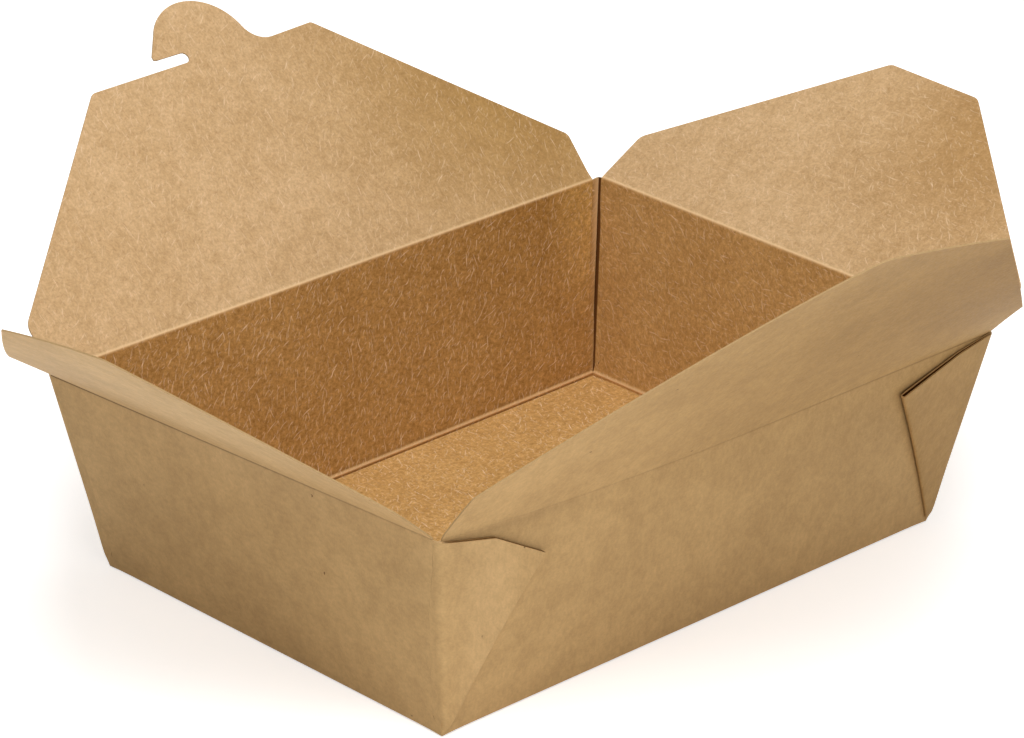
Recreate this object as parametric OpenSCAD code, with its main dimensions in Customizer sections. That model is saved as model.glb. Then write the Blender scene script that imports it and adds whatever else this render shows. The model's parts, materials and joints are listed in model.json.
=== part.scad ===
// Folded board takeaway box: an open tray with four lid flaps.
// The origin is the centre of the underside, +X along the long side, +Z up.

/* [Tray] */
// length of the base between its creases
base_l = 197; // [160:1:230]
// width of the base between its creases
base_w = 140; // [115:1:150]
// length of the opening between its creases
top_l = 220.6; // [205:0.1:240]
// width of the opening between its creases
top_w = 160.4; // [152:0.1:170]
// height of the creases of the two long lid flaps
rim_z = 61.2; // [45:0.1:80]
// how much lower the creases of the two end flaps sit
end_tuck = 0.8; // [0.7:0.05:1.2]
// thickness of the board
board = 0.45; // [0.4:0.01:0.5]
// radius of the raised bead on every flap crease
bead_r = 0.32; // [0.28:0.01:0.36]

/* [Squeezed corner] */
// how far the front left top corner is pushed in along the long side
squeeze_x = 3.8; // [0:0.1:5]
// how far it is pushed in along the short side
squeeze_y = 4.3; // [0:0.1:5]
// how far it is pushed up
squeeze_z = 1.2; // [0:0.1:1.5]

/* [Corner gussets] */
// gap between the layers of a gusset
layer_gap = 0.12; // [0.1:0.01:0.2]
// distance from the bottom corner to the tip, along the outer fold
gusset_l = 53; // [46:0.5:56]
// angle between the outer fold and the corner of the tray
gusset_angle = 32; // [26:0.5:36]
// distance of the bend in the top edge from the corner of the tray
gusset_bend = 11; // [6:0.5:18]
// length of the gusset beside the squeezed corner
squeezed_l = 60; // [54:0.5:62]
// angle of its outer fold
squeezed_angle = 42; // [36:0.5:44]
// distance of its bend from the corner
squeezed_bend = 25; // [18:0.5:28]
// distance of that bend below the rim
gusset_bend_drop = 4.5; // [3:0.1:7]
// distance of the top edge below the rim, at the corner
gusset_top_drop = 1.6; // [1.5:0.1:3]
// distance of the lower end above the base
gusset_foot = 1.5; // [1:0.1:4]
// angle at which the front right gusset stands off its wall
loose_angle = 2.2; // [0:0.1:3]

/* [Long flaps] */
// distance of the side edges of every flap from the corners
flap_inset = 1.5; // [1.4:0.1:2.5]
// length of the straight side edges of the two long flaps
long_side = 16.4; // [14:0.1:18]
// depth of the flap that carries the hook
hook_depth = 79; // [70:0.5:80]
// length of its outer edge
hook_edge = 89; // [70:0.5:100]
// length of its outer edge
slot_edge = 57; // [50:0.5:70]
// radius of the rounded corners at the side edges
side_r = 6; // [3:0.1:8]

/* [Hook and slot] */
// radius of the round head of the hook
head_r = 17.3; // [14:0.1:18]
// distance of the centre of the head beyond the outer edge
head_rise = 1.8; // [1:0.1:3]
// distance of the head from the middle of the flap
head_shift = 1.9; // [-5:0.1:5]
// radius of the hollow curve beside the head
hollow_r = 8; // [5:0.1:10]
// distance of the inner end of the notch from the middle of the head
notch_reach = 9.4; // [8:0.1:11]
// width of the notch under the tip of the hook
notch_w = 3.2; // [2:0.1:3.6]
// length of the notch
notch_l = 12.2; // [8:0.1:14]
// width of the slot that takes the hook
slot_w = 1.2; // [0.8:0.1:2]
// length of that slot
slot_l = 42; // [38:0.5:46]
// distance from the slot to the outer edge of its flap
slot_margin = 25.4; // [18:0.1:30]

/* [End flaps] */
// length of the straight side edges of the two end flaps
end_side = 18; // [14:0.1:19]
// depth of the two end flaps
end_depth = 78; // [65:0.5:80]
// length of their outer edges
end_edge = 37; // [30:0.5:50]

/* [Resting angles] */
// hook flap, above level
hook_angle = 40.5; // [0:0.5:80]
// slot flap, above level
slot_angle = 48.5; // [0:0.5:80]
// left end flap, above level
left_angle = 39; // [0:0.5:80]
// right end flap, above level
right_angle = 29.5; // [0:0.5:80]

/* [Fits] */
// gap between a flap crease and the wall below it
crease_gap = 0.15; // [0.15:0.01:0.2]

/* [Hidden] */

board_half = board / 2;
wall_top_gap = bead_r + crease_gap;
layer_step = board + layer_gap;
strip_in = 0.05;
strip_w = 0.3;
strip_end = 3;
reach_under = 0.5;
reach_over = 0.1;
arc_steps = 10;
head_steps = 28;
$fn = 24;
board_col = [0.71, 0.57, 0.39];
flap_col = [0.76, 0.62, 0.43];

// level thickness of the leaning end walls and long walls
thick_x = board / cos(atan((top_l - base_l) / 2 / rim_z));
thick_y = board / cos(atan((top_w - base_w) / 2 / rim_z));

// corners of the opening, on the creases of the long flaps
rim_fl = [squeeze_x - top_l / 2, squeeze_y - top_w / 2, rim_z + squeeze_z];
rim_fr = [top_l / 2, -top_w / 2, rim_z];
rim_br = [top_l / 2, top_w / 2, rim_z];
rim_bl = [-top_l / 2, top_w / 2, rim_z];

// the same corners on the lower creases of the end flaps
tuck = [0, 0, -end_tuck];

// the slot lies where the neck of the hook comes down, and its flap ends a margin further out
slot_y = top_w - hook_depth - notch_w / 2 - squeeze_y / 2;
slot_depth = slot_y + slot_margin;

function unit(v) = v / norm(v);
function normal_of(a, b, c) = unit(cross(b - a, c - a));

// point at height z on the outer edge (inner = 0) or inner edge (inner = 1) of a tray corner
function edge_at(rim, z, inner) =
    let (
        sx = sign(rim.x),
        sy = sign(rim.y),
        foot = [sx * base_l / 2, sy * base_w / 2, 0],
        head = rim + [sx * thick_x / 2, sy * thick_y / 2, 0]
    )
    foot + (head - foot) * z / rim.z - [sx * thick_x, sy * thick_y, 0] * inner;

// points of an arc of radius r that rounds the corner b between a and c
function rounded(a, b, c, r) =
    let (
        u = unit(a - b),
        v = unit(c - b),
        half = acos(u * v) / 2,
        mid = b + unit(u + v) * r / sin(half),
        start = b + u * r / tan(half) - mid,
        turn = (180 - 2 * half) * sign(u.y * v.x - u.x * v.y)
    )
    [for (i = [0:arc_steps])
        let (t = turn * i / arc_steps)
        mid + [start.x * cos(t) - start.y * sin(t), start.x * sin(t) + start.y * cos(t)]];

// left half of a flap outline, from its crease up to its outer edge
function flap_half(l, side, depth, edge) =
    let (
        root = [flap_inset, 0],
        shoulder = [flap_inset, side],
        outer = [(l - edge) / 2, depth]
    )
    concat([root], rounded(root, shoulder, outer, side_r), [outer]);

function mirrored(pts, l) =
    [for (i = [len(pts) - 1:-1:0]) [l - pts[i].x, pts[i].y]];

// Board between two matching loops of points, anticlockwise from the high side.
module slab(low, high) {
    n = len(low);
    polyhedron(
        points = concat(low, high),
        faces = concat(
            [for (i = [1:n - 2]) [0, i, i + 1]],
            [for (i = [1:n - 2]) [n, n + i + 1, n + i]],
            [for (i = [0:n - 1]) [n + i, n + (i + 1) % n, (i + 1) % n]],
            [for (i = [0:n - 1]) [n + i, (i + 1) % n, i]]
        )
    );
}

// Base and walls in one piece. Each corner has six points: outer foot, low top and high top,
// then the same three on the inside. End walls stop at the low top, long walls at the high one.
module shell() {
    points = [for (rim = [rim_fl, rim_fr, rim_br, rim_bl])
        let (
            high = rim.z - wall_top_gap,
            low = high - end_tuck
        )
        each [
            edge_at(rim, 0, 0),
            edge_at(rim, low, 0),
            edge_at(rim, high, 0),
            edge_at(rim, high, 1),
            edge_at(rim, low, 1),
            edge_at(rim, board, 1)
        ]];
    walls = [for (i = [0:3])
        let (
            path = i % 2 == 0 ? [0, 1, 2, 3, 4, 5] : [0, 1, 4, 5],
            j = (i + 1) % 4
        )
        each [for (k = [0:len(path) - 2])
            let (
                a = 6 * i + path[k],
                b = 6 * i + path[k + 1],
                c = 6 * j + path[k + 1],
                d = 6 * j + path[k]
            )
            each k < len(path) - 2 ? [[a, b, c], [a, c, d]] : [[b, c, d], [b, d, a]]]];
    steps = [for (i = [0:3])
        let (m = 6 * i)
        each i % 2 == 0 ? [[m + 4, m + 3, m + 2], [m + 4, m + 2, m + 1]]
            : [[m + 1, m + 2, m + 3], [m + 1, m + 3, m + 4]]];
    under = [for (i = [1, 2]) [0, 6 * i, 6 * (i + 1)]];
    floor = [for (i = [1, 2]) [5, 6 * (i + 1) + 5, 6 * i + 5]];
    polyhedron(points = points, faces = concat(walls, steps, under, floor));
}

// Folded double layer on the outside of a long wall; side is 1 or -1.
module gusset(rim, wall_n, side, l, angle, bend_d, loose) {
    corner = edge_at(rim, 0, 0);
    up = unit(edge_at(rim, rim.z, 0) - corner);
    over = unit(cross(wall_n, up)) * side;
    lean = over * cos(loose) + wall_n * sin(loose);
    face_n = unit(cross(up, lean)) * side;
    rim_s = norm(edge_at(rim, rim.z, 0) - corner);
    start = corner + over * board_half;
    foot = start + up * gusset_foot;
    top = start + up * (rim_s - gusset_top_drop);
    bend = corner + up * (rim_s - gusset_bend_drop) + lean * bend_d;
    tip = corner + (up * cos(angle) + lean * sin(angle)) * l;
    for (k = [1, 2]) {
        out = wall_n * (layer_step * k - board_half);
        inner = [for (p = [foot, top, bend, tip]) p + out - face_n * board_half];
        outer = [for (p = [foot, top, bend, tip]) p + out + face_n * board_half];
        slab(side > 0 ? inner : outer, side > 0 ? outer : inner);
    }
    // the outer fold that joins the two layers
    inward = unit(cross(tip - foot, face_n)) * side;
    fold_a = foot + unit(tip - foot) * strip_end + inward * strip_in;
    fold_b = tip - unit(tip - foot) * strip_end + inward * strip_in;
    edge = [fold_a, fold_a + inward * strip_w, fold_b + inward * strip_w, fold_b];
    back = [for (p = edge) p + wall_n * (layer_step - board_half)];
    front = [for (p = edge) p + wall_n * (2 * layer_step - board_half)];
    slab(side > 0 ? back : front, side > 0 ? front : back);
    // the end wall reaches round to the outer layer
    sx = sign(rim.x);
    sy = sign(rim.y);
    set_in = [sx * strip_in, 0, 0];
    low = edge_at(rim, gusset_foot - reach_under, 0) - set_in;
    high = edge_at(rim, rim.z - end_tuck - wall_top_gap - strip_in, 0) - set_in;
    hold = [0, sy * thick_y / 2, 0];
    reach = [0, sy * (2 * layer_step + reach_over), 0];
    across = [sx * (thick_x - 2 * strip_in), 0, 0];
    outside = [low - hold, low + reach, high + reach, high - hold];
    inside = [for (p = outside) p - across];
    slab(side > 0 ? outside : inside, side > 0 ? inside : outside);
}

module tray() {
    front_n = normal_of(edge_at(rim_fl, 0, 0), edge_at(rim_fr, 0, 0), edge_at(rim_fr, rim_z, 0));
    squeezed_n = normal_of(edge_at(rim_fl, 0, 0), edge_at(rim_fr, rim_z, 0), edge_at(rim_fl, rim_z, 0));
    back_n = [front_n.x, -front_n.y, front_n.z];
    color(board_col) {
        shell();
        gusset(rim_fl, squeezed_n, -1, squeezed_l, squeezed_angle, squeezed_bend, 0);
        gusset(rim_fr, front_n, 1, gusset_l, gusset_angle, gusset_bend, loose_angle);
        gusset(rim_bl, back_n, 1, gusset_l, gusset_angle, gusset_bend, 0);
        gusset(rim_br, back_n, -1, gusset_l, gusset_angle, gusset_bend, 0);
    }
}

// Flap on the crease from a to b, with its outer edge to the left of it.
module on_crease(a, b, rest) {
    d = b - a;
    translate(a)
        rotate([rest, -asin(d.z / norm(d)), atan2(d.y, d.x)])
            children();
}

// Plate of board with a bead along its crease.
module flap_plate(outline, l) {
    translate([0, 0, -board_half])
        linear_extrude(height = board)
            polygon(outline);
    translate([flap_inset, 0, 0])
        rotate([0, 90, 0])
            cylinder(r = bead_r, h = l - 2 * flap_inset);
}

module hook_flap() {
    l = norm(rim_br - rim_bl);
    half = flap_half(l, long_side, hook_depth, hook_edge);
    head_c = [l / 2 + head_shift, hook_depth + head_rise];
    notch_r = notch_w / 2;
    notch_c = [head_c.x - notch_reach, hook_depth + notch_r];
    tip = [notch_c.x + notch_r - notch_l, hook_depth + notch_w];
    to_tip = tip - head_c;
    head_start = atan2(to_tip.y, to_tip.x) - acos(head_r / norm(to_tip));
    head_end = asin((hollow_r - head_rise) / (head_r + hollow_r));
    hollow_c = head_c + [cos(head_end), sin(head_end)] * (head_r + hollow_r);
    hook = concat(
        [for (i = [0:arc_steps])
            let (t = -90 + 180 * i / arc_steps)
            notch_c + [cos(t), sin(t)] * notch_r],
        [tip],
        [for (i = [0:head_steps])
            let (t = head_start + (head_end - head_start) * i / head_steps)
            head_c + [cos(t), sin(t)] * head_r],
        [for (i = [1:arc_steps])
            let (t = 180 + head_end + (90 - head_end) * i / arc_steps)
            hollow_c + [cos(t), sin(t)] * hollow_r]
    );
    color(flap_col)
        on_crease(rim_bl, rim_br, hook_angle)
            flap_plate(concat(half, hook, mirrored(half, l)), l);
}

module slot_flap() {
    l = norm(rim_fr - rim_fl);
    half = flap_half(l, long_side, slot_depth, slot_edge);
    slot_r = slot_w / 2;
    slot_x = top_l / 2 - head_shift;
    run = slot_l / 2 - slot_r;
    color(flap_col)
        on_crease(rim_fr, rim_fl, slot_angle)
            difference() {
                flap_plate(concat(half, mirrored(half, l)), l);
                translate([slot_x, slot_y, -board])
                    linear_extrude(height = 2 * board)
                        polygon([for (i = [0:2 * arc_steps + 1])
                            let (
                                s = i > arc_steps ? -1 : 1,
                                t = 90 * s - 180 * (i % (arc_steps + 1)) / arc_steps
                            )
                            [s * run + slot_r * cos(t), slot_r * sin(t)]]);
            }
}

// End flap on the crease from a to b.
module end_flap(a, b, rest) {
    l = norm(b - a);
    half = flap_half(l, end_side, end_depth, end_edge);
    color(flap_col)
        on_crease(a, b, rest)
            flap_plate(concat(half, mirrored(half, l)), l);
}

module left_flap() {
    end_flap(rim_fl + tuck, rim_bl + tuck, left_angle);
}

module right_flap() {
    end_flap(rim_br + tuck, rim_fr + tuck, right_angle);
}

tray();
hook_flap();
slot_flap();
left_flap();
right_flap();
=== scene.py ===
"""Folded board takeaway box, drawn as one bent sheet. Lengths are millimetres until a mesh is made."""

import json
import math

import bpy
import numpy as np
from mathutils import Matrix, Vector
from mathutils.geometry import delaunay_2d_cdt


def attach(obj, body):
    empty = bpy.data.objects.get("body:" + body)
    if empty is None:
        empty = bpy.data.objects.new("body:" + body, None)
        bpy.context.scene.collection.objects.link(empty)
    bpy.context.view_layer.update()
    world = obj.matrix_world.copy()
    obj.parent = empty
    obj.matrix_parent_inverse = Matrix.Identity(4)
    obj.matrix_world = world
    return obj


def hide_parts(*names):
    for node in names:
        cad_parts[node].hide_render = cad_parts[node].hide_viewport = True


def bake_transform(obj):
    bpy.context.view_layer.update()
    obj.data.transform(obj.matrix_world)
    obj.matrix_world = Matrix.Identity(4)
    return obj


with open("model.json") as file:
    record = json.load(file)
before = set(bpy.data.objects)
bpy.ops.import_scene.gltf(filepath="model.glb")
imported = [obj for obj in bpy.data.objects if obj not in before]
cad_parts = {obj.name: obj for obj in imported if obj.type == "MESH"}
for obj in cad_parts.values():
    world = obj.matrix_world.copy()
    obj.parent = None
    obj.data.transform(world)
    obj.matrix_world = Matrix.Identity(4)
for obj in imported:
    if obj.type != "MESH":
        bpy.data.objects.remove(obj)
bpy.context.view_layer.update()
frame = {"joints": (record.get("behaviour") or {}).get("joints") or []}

MM = 0.001
BOARD = 0.45
HALF_BOARD = BOARD / 2
UV_SCALE = 10.0  # the map "sheet" holds the flat place on the sheet in metres, times this
UV_MM = MM * UV_SCALE  # a millimetre in that map
SHARP_ANGLE = math.radians(40)  # cut edges stay crisp, creases and faces are smooth

# the base between its creases, and the tuck of the two end flaps under the long ones
BASE_L = 197.0
BASE_W = 140.0
END_TUCK = 0.8

# the squeezed corner, front left, where the sheet's crease really passes
NEAR_CORNER = np.array([-105.0, -74.2, 63.0])
BEND_FROM = 0.42  # share of the front crease, from the right, that stays straight

# softness of the creases: half the length of sheet that the bend takes
FOOT_SOFT = 0.7
RIM_SOFT = 0.6
SHARP = 0.05
FOOT_SOFT_RUN = 8.0  # the foot creases sharpen over this length towards the corners

# the bow of the back foot crease: over a share of its length it grows, and by a power of the rest it fades
BOW_RUN = 0.3
BOW_FADE = 0.7

# where the four flap meshes take over from the walls, below the rim
SEAM_DROP = 4.0

# the mesh: points along an outline, inside a flap and across the base, and how clear of outlines those
# inside a flap stay, in steps of their grid
OUTLINE_STEP = 2.5
GRID = 4.0
BASE_STEP = 5.0
CLEAR_OF_BAND = 0.8
CLEAR_OF_OUTLINE = 0.45
CLEAR_OF_HOLE = 0.3
INSIDE_OUTLINE = 1  # tells the triangulation to keep only what the outline holds

# flaps: the length over which a curl is given, in so many steps, and the mean of the arch along the crease
CURL_RUN = 80.0
CURL_STEPS = 12
ARCH_MEAN = 0.66

# the raised bead above the foot creases, on the inside, with a painted highlight on it, the painted shade
# in the crevice at its foot, and a painted shade line above it
BEAD_HEIGHT = 0.32
BEAD_PLACE = 1.35
BEAD_WIDTH = 0.5
CREVICE_PLACE = 0.38
CREVICE_WIDTH = 0.3
UPPER_LINE = 2.45
UPPER_WIDTH = 0.32
UPPER_DARK = 0.6
BEAD_HIGHLIGHT = 0.9

# the rim creases pressed into the board: a ridge inside with a painted highlight on it, and a fine groove
# outside with a painted shadow line along it
RIDGE_HEIGHT = 0.1
RIDGE_PLACE = 0.1
RIDGE_WIDTH = 0.42
RIDGE_HIGHLIGHT = 0.75
GROOVE_DEPTH = 0.12
GROOVE_PLACE = -0.2
GROOVE_WIDTH = 0.3

# the soft dark band below the bent part of the front crease
BENT_SHADE = 0.3
BENT_PLACE = -1.6
BENT_WIDTH = 1.8

joints = {j["child"]: np.array(j["pos_m"]) / MM for j in frame["joints"]}
TUCK = np.array([0.0, 0.0, END_TUCK])
RIM_BACK_LEFT = joints["hook_flap"]
RIM_BACK_RIGHT = joints["right_flap"] + TUCK
RIM_FRONT_RIGHT = joints["slot_flap"]
RIM_FRONT_LEFT = RIM_FRONT_RIGHT * [-1, 1, 1]


def unit(v):
    return v / np.linalg.norm(v, axis=-1, keepdims=True)


def smooth(x):
    x = np.clip(x, 0, 1)
    return x * x * (3 - 2 * x)


class Side:
    """One side of the box, from corner a to corner b, clockwise from above, with its wall and flap."""

    def __init__(self, name, foot_a, foot_b, rim_a, rim_b, out, flap):
        self.name = name
        self.foot = np.array(foot_a), np.array(foot_b)
        self.rim = np.array(rim_a, float), np.array(rim_b, float)
        self.out = np.array(out, float)
        self.flap = flap
        self.bent_to = None
        self.soft_more = 0.0
        self.foot_bow = 0.0
        self.length = float(np.linalg.norm(self.rim[1] - self.rim[0]))

    def foot_at(self, q):
        a, b = self.foot
        bow = self.foot_bow * (1 - np.clip(q, 0, 1)) ** BOW_FADE * smooth(np.asarray(q) / BOW_RUN)
        return a + np.outer(q, b - a) - np.outer(bow, self.out)

    def bent_share(self, q):
        return np.clip((q - BEND_FROM) / (1 - BEND_FROM), 0, 1) ** 2

    def rim_at(self, q):
        a, b = self.rim
        line = a + np.outer(q, b - a)
        if self.bent_to is not None:
            line = line + np.outer(self.bent_share(q), self.bent_to - b)
        return line

    def height(self, q):
        return np.linalg.norm(self.rim_at(q) - self.foot_at(q), axis=1)

    def wall(self, q, v):
        """Point of the wall at v millimetres above its foot crease."""
        foot = self.foot_at(q)
        return foot + unit(self.rim_at(q) - foot) * v[:, None]

    def foot_soft(self, q):
        run = np.minimum(q, 1 - q) * np.linalg.norm(self.foot[1] - self.foot[0])
        return SHARP + (FOOT_SOFT - SHARP) * smooth(run / FOOT_SOFT_RUN)

    def foot_bend(self, q, t):
        """Point on the bend between the base (t = 0) and the wall (t = 1)."""
        soft = self.foot_soft(q)
        inward = -self.out * soft[:, None]
        rise = unit(self.rim_at(q) - self.foot_at(q)) * soft[:, None]
        return self.foot_at(q) + inward * ((1 - t) ** 2)[:, None] + rise * (t**2)[:, None]

    def plate(self, q, w):
        """Point of the flap at w millimetres beyond its crease."""
        f = self.flap
        b = self.bent_to if self.bent_to is not None else self.rim[1]
        along = unit(b - self.rim[0])
        out = unit(self.out - along * (self.out @ along))
        up = np.cross(along, out)
        up = up * np.sign(up[2])
        arch = 4 * q * (1 - q) - ARCH_MEAN
        lean = f["lean"] + f["twist"] * (q - 0.5) + f["belly"] * arch
        curl = f["curl"] + f["hump"] * arch
        steps = (np.arange(CURL_STEPS) + 0.5) / CURL_STEPS
        angle = np.radians(lean[:, None] + curl[:, None] / CURL_RUN * (w[:, None] * steps - CURL_RUN / 2))
        rim = self.rim_at(q)
        return rim + np.outer(np.cos(angle).mean(1) * w, out) + np.outer(np.sin(angle).mean(1) * w, up)

    def sheet(self, q, w):
        """Point of wall or flap, w millimetres beyond the rim crease, with the crease rounded."""
        q = np.asarray(q, float)
        w = np.asarray(w, float)
        height = self.height(q)
        below = self.wall(q, height + np.minimum(w, 0))
        above = self.plate(q, np.maximum(w, 0))
        flat = np.where((w < 0)[:, None], below, above)
        soft = RIM_SOFT + self.soft_more * self.bent_share(q)
        t = np.clip((w + soft) / (2 * soft), 0, 1)[:, None]
        bend = (
            self.wall(q, height - soft) * (1 - t) ** 2
            + self.rim_at(q) * 2 * t * (1 - t)
            + self.plate(q, soft) * t**2
        )
        return np.where((np.abs(w) < soft)[:, None], bend, flat)

    def flat(self, s, v):
        """Place on the sheet before folding, from s along the foot crease and v outward from it."""
        a, b = self.foot
        along = unit(b - a)
        return (a + np.outer(s, along) + np.outer(v, self.out))[:, :2]


FOOT_IN = 0.2
FX = BASE_L / 2 - FOOT_IN
FY = BASE_W / 2 - FOOT_IN
FOOT_BL = [-FX, FY, HALF_BOARD]
FOOT_BR = [FX, FY, HALF_BOARD]
FOOT_FR = [FX, -FY, HALF_BOARD]
FOOT_FL = [-FX, -FY, HALF_BOARD]

# how each flap is bent, in degrees: its lean above level with the twist and the arch (belly) of that lean
# along the crease, and its curl over CURL_RUN with the arch (hump) of that curl
STIFF = dict(twist=0.0, belly=0.0, curl=0.0, hump=0.0)
HOOK_FLAP = dict(lean=40.5, **STIFF)
RIGHT_FLAP = dict(lean=29.5, **STIFF)
SLOT_FLAP = dict(lean=47.4, twist=10.8, belly=6.0, curl=-8.9, hump=7.0)
LEFT_FLAP = dict(lean=37.9, twist=-8.4, belly=5.1, curl=-2.7, hump=8.9)

back = Side("hook_flap", FOOT_BL, FOOT_BR, RIM_BACK_LEFT, RIM_BACK_RIGHT, (0, 1, 0), HOOK_FLAP)
right = Side("right_flap", FOOT_BR, FOOT_FR, RIM_BACK_RIGHT, RIM_FRONT_RIGHT, (1, 0, 0), RIGHT_FLAP)
front = Side("slot_flap", FOOT_FR, FOOT_FL, RIM_FRONT_RIGHT, RIM_FRONT_LEFT, (0, -1, 0), SLOT_FLAP)
left = Side("left_flap", FOOT_FL, FOOT_BL, NEAR_CORNER, RIM_BACK_LEFT, (-1, 0, 0), LEFT_FLAP)
front.bent_to = NEAR_CORNER
front.soft_more = 1.5
back.foot_bow = 2.8

# how much painted shade browns the inside of the base and of each side, how dark the painted shade in the
# crevice at the foot is, how dark the painted shadow line along the outer groove of the rim is at its two
# ends, and how far short of the corners the flap ends
BASE_PAINTED_SHADE = 0.62
for side, deep, crevice, scored, inset in (
    (back, 1.0, 0.8, (0.4, 0.4), (1.5, 3.6)),
    (right, 0.5, 0.1, (0.4, 0.4), (0.9, 1.2)),
    (front, 1.0, 1.0, (0.6, 0.0), (0.3, 1.5)),
    (left, 0.8, 0.4, (0.3, 1.3), (1.5, 0.3)),
):
    side.deep = deep
    side.crevice = crevice
    side.scored = scored
    side.inset = inset


# Sheets of board


class Sheet:
    """A bent sheet: points of its middle surface, their places on the flat sheet, and faces."""

    def __init__(self):
        self.points = []
        self.flat = []
        self.marks = {"ridge": [], "groove": [], "pale": [], "dark": [], "deep": [], "score": []}
        self.faces = []

    def add(self, points, flat, **marks):
        """Adds points with their marks and returns their numbers.

        The marks ridge and groove are millimetres; the others paint colour: highlights and shade on the
        inside, shade on the outside.
        """
        first = len(self.points)
        self.points.extend(points)
        self.flat.extend(flat)
        for key, values in self.marks.items():
            given = np.broadcast_to(marks.get(key, 0.0), len(points))
            values.extend(given.tolist())
        return list(range(first, len(self.points)))

    def rows(self, rows):
        """Quads between neighbouring rows of point numbers, counter-clockwise from the inside."""
        for low, high in zip(rows[:-1], rows[1:]):
            for a, b, c, d in zip(low[:-1], low[1:], high[1:], high[:-1]):
                self.faces.append((a, b, c, d))

    def normals(self, points):
        normals = np.zeros_like(points)
        for face in self.faces:
            corners = points[list(face)]
            middle = corners.mean(0)
            around = np.roll(corners, -1, 0)
            area = np.cross(corners - middle, around - middle).sum(0)
            normals[list(face)] += area
        return unit(normals + 1e-12)

    def build(self, name, materials):
        """A closed mesh of the board's thickness, with its inside, outside and cut edges in that order."""
        points = np.array(self.points, float)
        flat = np.array(self.flat, float)
        normals = self.normals(points)
        marks = {key: np.array(values) for key, values in self.marks.items()}
        inner = points + normals * (HALF_BOARD + marks["ridge"])[:, None]
        outer = points - normals * (HALF_BOARD - marks["groove"])[:, None]
        count = len(points)
        edges = [edge for face in self.faces for edge in zip(face, face[1:] + face[:1])]
        used = set(edges)
        border = [(a, b) for a, b in edges if (b, a) not in used]
        faces = list(self.faces)
        faces += [tuple(count + i for i in reversed(face)) for face in self.faces]
        faces += [(b, a, count + a, count + b) for a, b in border]
        # material slots: 0 for the inside, 1 for the outside, 2 for cut edges
        kinds = [0] * len(self.faces) + [1] * len(self.faces) + [2] * len(border)
        mesh = bpy.data.meshes.new(name)
        mesh.from_pydata((np.vstack([inner, outer]) * MM).tolist(), [], faces)
        mesh.polygons.foreach_set("material_index", kinds)
        mesh.polygons.foreach_set("use_smooth", [kind < 2 for kind in kinds])
        places = np.vstack([flat, flat])
        loops = np.zeros(len(mesh.loops), int)
        mesh.loops.foreach_get("vertex_index", loops)
        layer = mesh.uv_layers.new(name="sheet")
        layer.data.foreach_set("uv", (places[loops] * MM * UV_SCALE).ravel())
        for key in ("pale", "dark", "deep", "score"):
            layer = mesh.attributes.new(key, "FLOAT", "POINT")
            layer.data.foreach_set("value", np.concatenate([marks[key], marks[key]]))
        for material in materials:
            mesh.materials.append(material)
        mesh.validate()
        mesh.update()
        obj = bpy.data.objects.new(name, mesh)
        bpy.context.scene.collection.objects.link(obj)
        mesh.set_sharp_from_angle(angle=SHARP_ANGLE)
        return obj


def hump(x, width):
    """1 at 0, falling off smoothly over the width."""
    return np.exp(-((x / width) ** 2))


def foot_marks(side, v):
    """Bead and crevice at v millimetres above a foot crease, with a painted highlight on the bead, painted
    shade in the crevice and in a line above the bead, and the painted shade of the inside.
    """
    bead = hump(v - BEAD_PLACE, BEAD_WIDTH)
    line = hump(v - CREVICE_PLACE, CREVICE_WIDTH) + UPPER_DARK * hump(v - UPPER_LINE, UPPER_WIDTH)
    return dict(ridge=BEAD_HEIGHT * bead, pale=BEAD_HIGHLIGHT * bead, dark=side.crevice * line, deep=side.deep)


def rim_marks(side, q, w):
    """Ridge and groove at w millimetres beyond a rim crease, with a painted highlight on the ridge, a
    painted shadow line along the groove, painted shade below the bent front crease and over the inside of
    the wall.
    """
    ridge = hump(w - RIDGE_PLACE, RIDGE_WIDTH)
    groove = hump(w - GROOVE_PLACE, GROOVE_WIDTH)
    fade = side.scored[0] + (side.scored[1] - side.scored[0]) * q
    score = groove * fade
    if side.bent_to is not None:
        score = score + BENT_SHADE * side.bent_share(q) * hump(w - BENT_PLACE, BENT_WIDTH)
    return dict(
        ridge=RIDGE_HEIGHT * ridge,
        groove=GROOVE_DEPTH * groove,
        pale=RIDGE_HIGHLIGHT * ridge,
        deep=np.where(w < 0, side.deep, 0.0),
        score=score,
    )


# shares of the bend at the foot and of the height of a wall at which the mesh has a row
BASE_BEND_ROWS = (0.5, 0.35, 0.2)
WALL_BEND_ROWS = (0.65, 0.8, 1.0)
LOW_ROWS = [0.013, 0.018, 0.024, 0.031, 0.039, 0.047, 0.055, 0.065, 0.085]
WALL_ROWS = np.array(LOW_ROWS + [0.12, 0.18, 0.28, 0.42, 0.56, 0.7, 0.82, 0.9])

# the margin left to the corner pieces: at the foot, up the wall, and where it turns to that of the flap
MARGIN_FOOT = 0.12
MARGIN_MIDDLE = 3.6
MARGIN_RISE = 0.1
MARGIN_TURN = 0.6
MARGIN_TURN_RUN = 0.3


def margin(t, inset):
    """Distance from the corner at which a wall ends and the corner piece starts, t up the corner."""
    rise = MARGIN_FOOT + (MARGIN_MIDDLE - MARGIN_FOOT) * smooth(t / MARGIN_RISE)
    return rise + (inset - MARGIN_MIDDLE) * smooth((t - MARGIN_TURN) / MARGIN_TURN_RUN)


def base_stations(half):
    """Places across the base: on the bend at its low end, over the flat part and on the other bend."""
    inner = np.linspace(0, 1, int(2 * half / BASE_STEP) + 1)
    marks = [("low", t) for t in BASE_BEND_ROWS]
    marks += [("flat", f) for f in inner]
    return marks + [("high", t) for t in reversed(BASE_BEND_ROWS)]


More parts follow.
